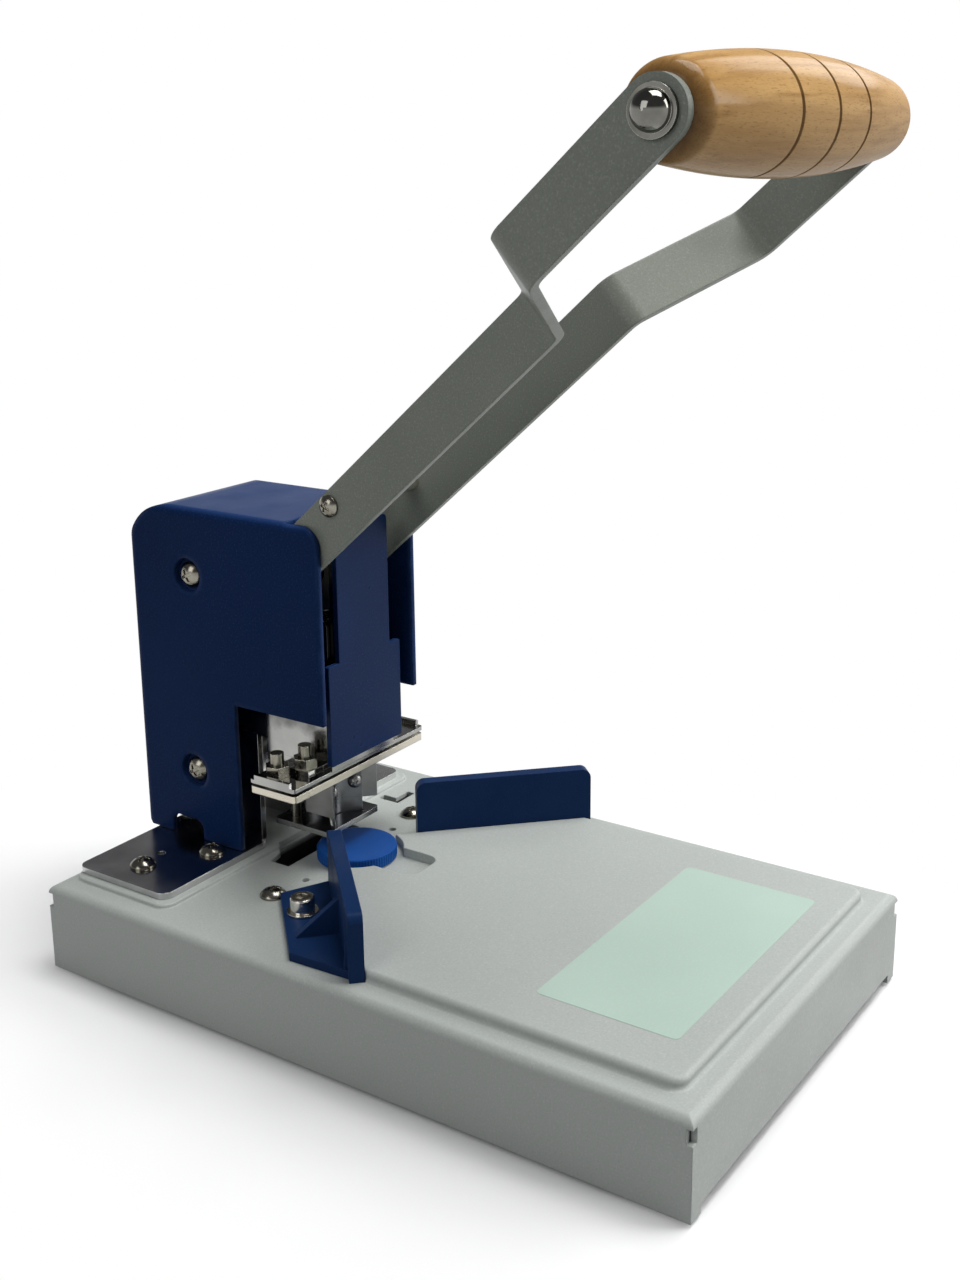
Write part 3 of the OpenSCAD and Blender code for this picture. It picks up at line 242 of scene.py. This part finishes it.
metals = {
    "nickel": {
        "dark": (0.31, 0.31, 0.30), "light": (0.42, 0.42, 0.405),
        "deep": (0.20, 0.20, 0.19), "bright": (0.74, 0.73, 0.71),
        "smudge": 45, "stretch": (25, 25, 1900), "edge": 0.0003, "rough": (0.09, 0.20), "depth": 0.000004},
    "zinc": {
        "dark": (0.18, 0.168, 0.136), "light": (0.29, 0.275, 0.230),
        "deep": (0.11, 0.10, 0.08), "bright": (0.62, 0.59, 0.53),
        "smudge": 260, "stretch": (900, 900, 900), "edge": 0.0003, "rough": (0.12, 0.26), "depth": 0.000006},
    "steel": {
        "dark": (0.22, 0.22, 0.215), "light": (0.31, 0.31, 0.305),
        "deep": (0.15, 0.15, 0.15), "bright": (0.52, 0.52, 0.51),
        "smudge": 90, "stretch": (30, 30, 1700), "edge": 0.0003, "rough": (0.30, 0.46), "depth": 0.00001},
    "blade_steel": {
        "dark": (0.14, 0.143, 0.15), "light": (0.22, 0.225, 0.235),
        "deep": (0.10, 0.10, 0.105), "bright": (0.66, 0.67, 0.69),
        "smudge": 120, "stretch": (60, 60, 2400), "edge": 0.0002, "rough": (0.22, 0.38), "depth": 0.000008},
    "spring_steel": {
        "dark": (0.28, 0.28, 0.285), "light": (0.40, 0.40, 0.405),
        "deep": (0.18, 0.18, 0.18), "bright": (0.55, 0.55, 0.55),
        "smudge": 300, "stretch": (700, 700, 700), "edge": 0.0002, "rough": (0.22, 0.36), "depth": 0.000006},
    "bush_brass": {
        "dark": (0.50, 0.34, 0.12), "light": (0.64, 0.45, 0.18),
        "deep": (0.33, 0.22, 0.08), "bright": (0.80, 0.62, 0.30),
        "smudge": 200, "stretch": (1200, 60, 60), "edge": 0.0002, "rough": (0.2, 0.34), "depth": 0.000008},
}
# painted shade for the channel and frame plates: darker above this height, inside the cover
paintedShadeAbove = {"paintedShadeFrom": (0.086, 0.095), "paintedShadeTone": (0.012, 0.012, 0.014)}
metals["channel_nickel"] = {**metals["nickel"], **paintedShadeAbove}
metals["frame_nickel"] = {**metals["nickel"], **paintedShadeAbove, "dark": (0.44, 0.44, 0.44),
                          "light": (0.57, 0.57, 0.57), "rough": (0.12, 0.26)}
# painted reflection: the right frame plate's nickel, a lighter copy of the left plate's
metals["lit_flange_nickel"] = {**metals["frame_nickel"], "dark": (0.66, 0.66, 0.65), "light": (0.76, 0.76, 0.75)}
# painted light: a lighter copy of zinc for the tie rod, guide screws and washers
metals["lit_rod_zinc"] = {**metals["zinc"], "dark": (0.60, 0.58, 0.53), "light": (0.76, 0.74, 0.69)}
metals["presser_nickel"] = {**metals["nickel"], "dark": (0.08, 0.085, 0.095), "light": (0.14, 0.145, 0.155),
                            "deep": (0.05, 0.05, 0.055), "rough": (0.16, 0.30), "cut": (0.34, 0.34, 0.335)}
metals["plate_nickel"] = {**metals["nickel"], "dark": (0.58, 0.54, 0.45), "light": (0.70, 0.66, 0.56),
                          "rough": (0.24, 0.38)}
# painted shade: a copy of zinc darkened far below plated metal, so the white floor the cap nuts reflect reads
# dark
metals["shaded_cap_nickel"] = {**metals["zinc"], "dark": (0.13, 0.128, 0.115), "light": (0.20, 0.197, 0.180),
                        "smudge": 160, "rough": (0.04, 0.12)}

# Beech along X: slow bands of tone, rings round a heart below the grip, streaks, fine pores and short
# dark flecks, with burnt grooves and darker ends, part burn and part painted shade beside the lever bars, all
# under a clear varnish
beech = {
    "dark": (0.43, 0.242, 0.078), "light": (0.60, 0.368, 0.145), "ringTone": (0.33, 0.170, 0.050),
    "poreTone": (0.31, 0.165, 0.050), "fleckTone": (0.19, 0.085, 0.022), "burnAndShadeTone": (0.085, 0.033, 0.010),
    "band": (9, 90, 90), "bandTwist": 0.4, "heart": (0.0, 0.055, -0.21), "ring": 55,
    "ringTwist": 1.5, "ringDetail": 2.0, "ringDetailScale": 1.2,
    "streak": (14, 420, 420), "streakTwist": 0.2, "pore": (420, 2600, 2600), "fleck": (360, 2100, 2100),
    "ringShare": (0.2, 1.0, 0.0, 0.25), "streakShare": (0.47, 0.68, 0.0, 0.6),
    "poreShare": (0.5, 0.75, 0.0, 0.35), "fleckShare": (0.60, 0.72, 0.0, 0.42),
    "poreDepth": 0.00002, "rough": (0.36, 0.44), "coat": 0.24, "coatRough": 0.14, "gloss": 0.01}


def beechFinish(name, s):
    f = newFinish(name)
    band = f.noise(1.0, 3, f.stretched(s["band"]), s["bandTwist"])
    wave = {"Vector": f.stretched((1, 1, 1), s["heart"]), "Scale": s["ring"], "Distortion": s["ringTwist"],
            "Detail": s["ringDetail"], "Detail Scale": s["ringDetailScale"]}
    ring = f.add("TexWave", wave, wave_type="RINGS", rings_direction="X").outputs["Fac"]
    streak = f.noise(1.0, 3, f.stretched(s["streak"]), s["streakTwist"])
    pore = f.noise(1.0, 2, f.stretched(s["pore"]))
    fleck = f.noise(1.0, 1, f.stretched(s["fleck"]))
    burnAndShade = f.add("Attribute", attribute_name="burnAndShade").outputs["Fac"]
    colour = f.tint(f.spread(band, *most), s["dark"], s["light"])
    colour = f.tint(f.spread(ring, *s["ringShare"]), colour, s["ringTone"])
    colour = f.tint(f.spread(streak, *s["streakShare"]), colour, s["ringTone"])
    colour = f.tint(f.spread(pore, *s["poreShare"]), colour, s["poreTone"])
    colour = f.tint(f.spread(fleck, *s["fleckShare"]), colour, s["fleckTone"])
    # burnt grooves, and ends darkened part by burn and part by painted shade
    colour = f.tint(burnAndShade, colour, s["burnAndShadeTone"])
    normal = f.bump(pore, s["poreDepth"], f.normal())
    rough = f.spread(band, *most, *s["rough"])
    varnish = {"Coat Weight": s["coat"], "Coat Roughness": s["coatRough"], "Specular IOR Level": s["gloss"]}
    return f.done(colour, rough, normal, varnish)


# Label film: a slow drift of tone, pale fibre and a satin skin
film = {"dark": (0.448, 0.571, 0.500), "light": (0.472, 0.599, 0.523), "fibreTone": (0.566, 0.669, 0.611),
        "drift": 20, "fibre": (700, 1400, 1400), "fibreShare": (0.5, 0.8, 0.0, 0.3), "fibreDepth": 0.00001,
        "rough": (0.36, 0.46), "gloss": 0.10}


def filmFinish(name, s):
    f = newFinish(name)
    fibre = f.noise(1.0, 3, f.stretched(s["fibre"]))
    drift = f.noise(s["drift"])
    colour = f.tint(f.spread(drift, *middle), s["dark"], s["light"])
    colour = f.tint(f.spread(fibre, *s["fibreShare"]), colour, s["fibreTone"])
    normal = f.bump(fibre, s["fibreDepth"], f.normal())
    return f.done(colour, f.spread(drift, *most, *s["rough"]), normal, {"Specular IOR Level": s["gloss"]})


looks = {name: coatedFinish(name, s) for name, s in coats.items()}
looks.update({name: metalFinish(name, s) for name, s in metals.items()})
looks["beech"] = beechFinish("beech", beech)
looks["label"] = filmFinish("label", film)
ownLook = {"ram_face_plate": "face_paint", "left_frame_plate": "frame_nickel",
           "right_frame_plate": "lit_flange_nickel", "ram_channel": "channel_nickel",
           "tool_plate": "plate_nickel", "presser_foot": "presser_nickel", "blade_screws": "steel",
           "grip_cap_nuts": "shaded_cap_nickel", "tie_rod": "lit_rod_zinc", "guide_screws": "lit_rod_zinc",
           "guide_washers": "lit_rod_zinc"}
for part in frame["record"]["subparts"]:
    mesh = nodes[part["node"]].data
    mesh.materials.clear()
    mesh.materials.append(looks[ownLook.get(part["node"], part["material_slot"])])
print("stage: finishes,", len(looks))


def addPiece(name, points, faces, look, body, smooth=True):
    mesh = bpy.data.meshes.new(name)
    mesh.from_pydata(points.tolist(), [], faces)
    mesh.polygons.foreach_set("use_smooth", np.full(len(mesh.polygons), smooth))
    mesh.materials.append(looks[look])
    o = bpy.data.objects.new(name, mesh)
    scene.collection.objects.link(o)
    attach(o, body)
    return o


# Quads between neighbouring rings of points; closed joins the last ring to the first
def ringQuads(rings, around, closed=False):
    i, j = np.meshgrid(np.arange(rings if closed else rings - 1), np.arange(around), indexing="ij")
    i2 = (i + 1) % rings
    j2 = (j + 1) % around
    corners = [i * around + j, i2 * around + j, i2 * around + j2, i * around + j2]
    return np.stack(corners, -1).reshape(-1, 4)


# A closed skin: rings, then a fan at each end to a pole, the two poles being the last points
def poledFaces(rings, around, start=0):
    k = np.arange(around)
    k2 = (k + 1) % around
    last = (rings - 1) * around
    pole = np.full(around, rings * around)
    first = np.stack([pole, k, k2], -1)
    final = np.stack([pole + 1, last + k2, last + k], -1)
    return (ringQuads(rings, around) + start).tolist() + (np.concatenate([first, final]) + start).tolist()


def turnAngles(count):
    return np.arange(count) / count * 2 * np.pi


# Turned grip: a closed profile (x along the grip, r from its axis) spun about the grip's own axis.
# Barrel r = rMax - R + sqrt(R^2 - x^2), end curve r = re + sqrt(e^2 - (x - xe)^2),
# groove r = rim + sink g - sqrt(g^2 - (x - x0)^2)
grip = {"taper": 0.0048, "end": 0.006, "bore": 0.00305, "segments": 192, "steps": 300, "faceShare": 0.6,
        "grooves": (-1, 0, 1), "groove": 0.0009, "sink": 0.3, "span": 0.0012, "spanSteps": 33,
        "endBurnAndShade": 0.7, "grooveBurn": 0.9, "burnReach": 1.25}
low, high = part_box("wooden_grip")
half, rMax = (high.x - low.x) / 2, (high.z - low.z) / 2
axisY, axisZ = (low.y + high.y) / 2, (low.z + high.z) / 2
arcR = (half ** 2 + grip["taper"] ** 2) / (2 * grip["taper"])
endX = half - grip["end"]
endR = rMax - arcR + math.sqrt((arcR - grip["end"]) ** 2 - endX ** 2)
turnX = endX * arcR / (arcR - grip["end"])
x = half * np.sin(np.linspace(-np.pi / 2, np.pi / 2, grip["steps"]))
grooveAt = np.array(grip["grooves"]) * half / 3  # counted in thirds of the half length
closeBy = np.linspace(-grip["span"], grip["span"], grip["spanSteps"])
x = np.sort(np.concatenate([x, (grooveAt[:, None] + closeBy).ravel()]))
r = rMax - arcR + np.sqrt(arcR ** 2 - x ** 2)
past = np.abs(x) > turnX
r[past] = endR + np.sqrt(np.maximum(grip["end"] ** 2 - (np.abs(x[past]) - endX) ** 2, 0))
burnAndShade = grip["endBurnAndShade"] * np.clip((np.abs(x) - endX) / grip["end"], 0, 1)  # the ends are darker: part end grain that drinks more varnish, part painted shade beside the lever bars
for at in grooveAt:
    rim = rMax - arcR + math.sqrt(arcR ** 2 - at ** 2) + grip["sink"] * grip["groove"]
    near = np.abs(x - at) < grip["groove"]
    r[near] = np.minimum(r[near], rim - np.sqrt(grip["groove"] ** 2 - (x[near] - at) ** 2))
    scorch = grip["burnReach"] - np.abs(x - at) / grip["groove"]
    burnAndShade = np.maximum(burnAndShade, np.clip(scorch, 0, grip["grooveBurn"]))
faceR = endR * grip["faceShare"]
x = np.concatenate([x, [half, half, -half, -half]])
r = np.concatenate([r, [faceR, grip["bore"], grip["bore"], faceR]])
burnAndShade = np.concatenate([burnAndShade, np.full(4, grip["endBurnAndShade"])])
a = turnAngles(grip["segments"])
alongX = np.broadcast_to(x[:, None], (len(x), len(a)))
spun = np.stack([alongX, axisY + r[:, None] * np.cos(a), axisZ + r[:, None] * np.sin(a)], -1).reshape(-1, 3)
quads = np.roll(ringQuads(len(x), len(a), closed=True)[:, ::-1], 1, axis=1)  # turned to face outwards
gripPiece = addPiece("turnedGrip", spun, quads.tolist(), "beech", "lever")
mark = gripPiece.data.attributes.new("burnAndShade", "FLOAT", "POINT")
mark.data.foreach_set("value", np.repeat(burnAndShade, len(a)))
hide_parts("wooden_grip")
print("stage: grip,", len(spun), "points")

# Cutting disc: a closed profile (r from the axis, z up) spun about the disc's axis, with a pole at each end.
# Its rim carries fine ribs, r = R - d (1 - cos(n a)) / 2, and its edges are quarter circles
disc = {"edge": 0.0006, "edgeSteps": 7, "hub": 0.0015, "faceSteps": 16, "ribs": 84, "ribDepth": 0.00014,
        "segments": 672, "dish": 0.00012, "stub": 0.004, "neck": 0.003, "neckLow": 0.0012, "neckHigh": 0.0025,
        "under": 0.0047}
low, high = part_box("cutting_disc")
discR, midY, top, foot = (high.x - low.x) / 2, (high.y + low.y) / 2, high.z, low.z
e, under = disc["edge"], top - disc["under"]
neckLow, neckHigh = foot + disc["neckLow"], foot + disc["neckHigh"]
t = np.linspace(0, np.pi / 2, disc["edgeSteps"])
face = np.linspace(disc["hub"], discR - e, disc["faceSteps"])[:-1]
stemR = np.array([disc[k] for k in ("stub", "stub", "neck", "neck", "stub", "stub")])
stemZ = np.array([under, neckHigh, neckHigh, neckLow, neckLow, foot])
r = np.concatenate([face, discR - e + e * np.sin(t), discR - e + e * np.cos(t), stemR])
dished = top - disc["dish"] * (1 - (face / discR) ** 2)
z = np.concatenate([dished, top - e + e * np.cos(t), under + e - e * np.sin(t), stemZ])
onRim = np.concatenate([np.zeros(len(face)), np.sin(t) ** 2, np.cos(t) ** 2, np.zeros(len(stemR))])
a = turnAngles(disc["segments"])
ribbed = r[:, None] - onRim[:, None] * disc["ribDepth"] * (1 - np.cos(disc["ribs"] * a)) / 2
upZ = np.broadcast_to(z[:, None], ribbed.shape)
spun = np.stack([ribbed * np.cos(a), midY + ribbed * np.sin(a), upZ], -1).reshape(-1, 3)
poles = np.array([(0, midY, top - disc["dish"]), (0, midY, foot)])
discPiece = addPiece("ribbedDisc", np.concatenate([spun, poles]), poledFaces(len(r), len(a)),
                     "disc_plastic", "disc")
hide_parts("cutting_disc")
print("stage: disc,", len(spun), "points")

# Coil springs: a round wire carried up a helix, centre R (cos a, sin a) and rising evenly with a.
# The wire's circle stands in the upright plane through the axis: R + q cos b outwards and q sin b up
returnCoil = {"node": "return_spring", "places": (0.0,), "turns": 7, "wire": 0.0018, "across": 0.016,
              "rounds": 44, "sides": 16, "body": "base", "joint": "ram_slide", "fixed": 0.10405,
              "moving": 0.13220}
presserCoils = {"node": "presser_springs", "places": (-0.009, 0.009), "turns": 5, "wire": 0.0008,
                "across": 0.006, "rounds": 32, "sides": 12, "body": "ram", "joint": "presser_slide",
                "fixed": 0.09405, "moving": 0.07805}


def coilPoints(x, y, low, high, s):
    a = np.linspace(0, s["turns"] * 2 * np.pi, s["turns"] * s["rounds"] + 1)
    b = turnAngles(s["sides"])
    q = s["wire"] / 2
    out = s["across"] / 2 - q + q * np.cos(b)
    rise = np.linspace(low + q, high - q, len(a))[:, None] + q * np.sin(b)
    tube = np.stack([x + np.cos(a)[:, None] * out, y + np.sin(a)[:, None] * out, rise], -1)
    return np.concatenate([tube.reshape(-1, 3), [tube[0].mean(0), tube[-1].mean(0)]])


def addCoil(name, s):
    low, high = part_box(s["node"])
    rings = s["turns"] * s["rounds"] + 1
    points, faces = np.zeros((0, 3)), []
    for x in s["places"]:
        faces += poledFaces(rings, s["sides"], len(points))
        points = np.concatenate([points, coilPoints(x, (low.y + high.y) / 2, low.z, high.z, s)])
    o = addPiece(name, points, faces, "spring_steel", s["body"])
    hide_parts(s["node"])
    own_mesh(o)
    print("stage:", name, len(points), "points")


addCoil("returnCoil", returnCoil)
addCoil("presserCoils", presserCoils)

# Label film on the table: a rectangle with quarter-circle corners, c + q (cos t, sin t),
# as a thin closed plate
label = {"half": 0.052, "front": -0.110, "back": -0.061, "lift": 0.00002, "thick": 0.0001, "round": 0.002,
         "steps": 8}
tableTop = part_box("base_tray")[1].z
q = label["round"]
sideX, backY, frontY = label["half"] - q, label["back"] - q, label["front"] + q
centres = np.array([(sideX, backY), (-sideX, backY), (-sideX, frontY), (sideX, frontY)])
t = np.radians(np.arange(4)[:, None] * 90 + np.linspace(0, 90, label["steps"]))
rim = (centres[:, None, :] + q * np.stack([np.cos(t), np.sin(t)], -1)).reshape(-1, 2)
n = len(rim)
heights = np.repeat([tableTop + label["lift"], tableTop + label["thick"]], n)
points = np.column_stack([np.tile(rim, (2, 1)), heights])
k = np.arange(n)
k2 = (k + 1) % n
sides = np.stack([k, k2, n + k2, n + k], -1).tolist()
faces = [(n + k).tolist(), k[::-1].tolist()] + sides
addPiece("labelPlate", points, faces, "label", "base", False)
print("stage: label")

# Floor: plain white paper where camera and reflections see it, grey to bounced light.
# It keeps the shadow near the base, fades to even white past it and is clear from below, so the feet show.
# Inside the base's outline the paper is painted dark, a painted shadow that shows through the chip hole
studio = {"floor": 12.0, "paper": ((0.955, 0.955, 0.955), (0.985, 0.985, 0.985)), "paperNoise": 9,
          "paperRough": 0.9, "bounce": (0.30, 0.30, 0.30), "reach": (12.5, 7.75, 0.0), "fade": (1.25, 2.2),
          "below": (13.0, 7.94, 0.0), "paintedFloorShadeEdge": (1.0, 0.97), "paintedFloorShadeTone": (0.12, 0.12, 0.125),
          "white": (1.0, 1.0, 1.0), "dusk": (0.13, 0.13, 0.135), "backdropTop": (0.10, 0.32)}
h = studio["floor"] / 2
floorMesh = bpy.data.meshes.new("floor")
floorMesh.from_pydata([(-h, -h, 0), (h, -h, 0), (h, h, 0), (-h, h, 0)], [], [(0, 1, 2, 3)])
floor = bpy.data.objects.new("floor", floorMesh)
scene.collection.objects.link(floor)
f = newFinish("floorPaper")
seen = f.showing()[1]
paper = f.tint(f.spread(f.noise(studio["paperNoise"], 3), *most), *studio["paper"])
offset = f.add("VectorMath", {0: f.stretched(studio["below"])}, operation="ABSOLUTE").outputs["Vector"]
inBase = f.maths("MAXIMUM", f.along(offset, "X"), f.along(offset, "Y"))
paper = f.tint(f.spread(inBase, *studio["paintedFloorShadeEdge"]), paper, studio["paintedFloorShadeTone"])  # painted shadow: paper painted dark inside the base's outline, seen through the chip hole
f.done(f.tint(seen, studio["bounce"], paper), studio["paperRough"], f.normal(), {"Specular IOR Level": 0.0})
away = f.add("VectorMath", {0: f.stretched(studio["reach"])}, operation="LENGTH").outputs["Value"]
fade = f.maths("MULTIPLY", f.spread(away, *studio["fade"]), seen)
blend = f.add("MixShader", {0: fade, 1: f.shader.outputs[0], 2: f.add("Emission").outputs[0]})
under = f.add("NewGeometry").outputs["Backfacing"]
blend = f.add("MixShader", {0: under, 1: blend.outputs[0], 2: f.add("BsdfTransparent").outputs[0]})
f.feed(f.tree.nodes["Material Output"].inputs["Surface"], blend.outputs[0])
floorMesh.materials.append(f.material)

lamps = {
    "topLamp": {"place": (0.30, -0.30, 1.55), "aim": (0, -0.05, 0.1), "size": 0.85, "power": 20},
    "frontLamp": {"place": (0.95, -1.30, 0.95), "aim": (0, -0.05, 0.12), "size": 0.9, "power": 16},
    "leftLamp": {"place": (-1.25, 0.20, 0.95), "aim": (0, 0, 0.12), "size": 0.8, "power": 5},
    "gripLamp": {"place": (1.34, -0.08, 0.92), "aim": (0, -0.08, 0.28), "size": 0.5, "power": 2.8},
}
for name, s in lamps.items():
    lamp = bpy.data.lights.new(name, "AREA")
    lamp.size = s["size"]
    lamp.energy = s["power"]
    o = bpy.data.objects.new(name, lamp)
    o.location = s["place"]
    o.rotation_euler = (Vector(s["aim"]) - Vector(s["place"])).to_track_quat("-Z", "Y").to_euler()
    scene.collection.objects.link(o)

# World: white backdrop to the camera, to reflections white up to its top edge,
# dim above and for bounced light
world = bpy.data.worlds.new("studio")
scene.world = world
world.use_nodes = True
sky = Finish(world.node_tree, "Generated")
cameraRay, seen = sky.showing()
above = sky.spread(sky.along(sky.place, "Z"), *studio["backdropTop"])
glow = sky.tint(above, studio["white"], studio["dusk"])
shown = sky.tint(cameraRay, glow, studio["white"])
sky.feed(sky.tree.nodes["Background"].inputs["Color"], sky.tint(seen, studio["dusk"], shown))

# Camera solved from the photo (millimetres and pixels of 960 x 1280)
shot = {"place": (-413.611, -288.498, 285.428), "focal": 1544.45, "centre": (466.293, 557.415),
        "picture": (960, 1280), "sensor": 36, "nearest": 0.01,
        "right": (0.5671109, -0.82353225, -0.01341097), "down": (-0.21259025, -0.1306269, -0.9683708),
        "ahead": (0.79573275, 0.55202468, -0.24915486)}
wide, tall = shot["picture"]
lens = bpy.data.cameras.new("camera")
lens.sensor_width = shot["sensor"]
lens.lens = shot["focal"] / tall * lens.sensor_width
lens.shift_x = (wide / 2 - shot["centre"][0]) / tall
lens.shift_y = (shot["centre"][1] - tall / 2) / tall
lens.clip_start = shot["nearest"]
camera = bpy.data.objects.new("camera", lens)
right, down, ahead = (Vector(shot[k]) for k in ("right", "down", "ahead"))
turn = Matrix((right, -down, -ahead)).transposed().to_4x4()
camera.matrix_world = Matrix.Translation(Vector(shot["place"]) / 1000) @ turn
scene.collection.objects.link(camera)
scene.camera = camera
scene.view_settings.view_transform = "Standard"
print("stage: camera and light")
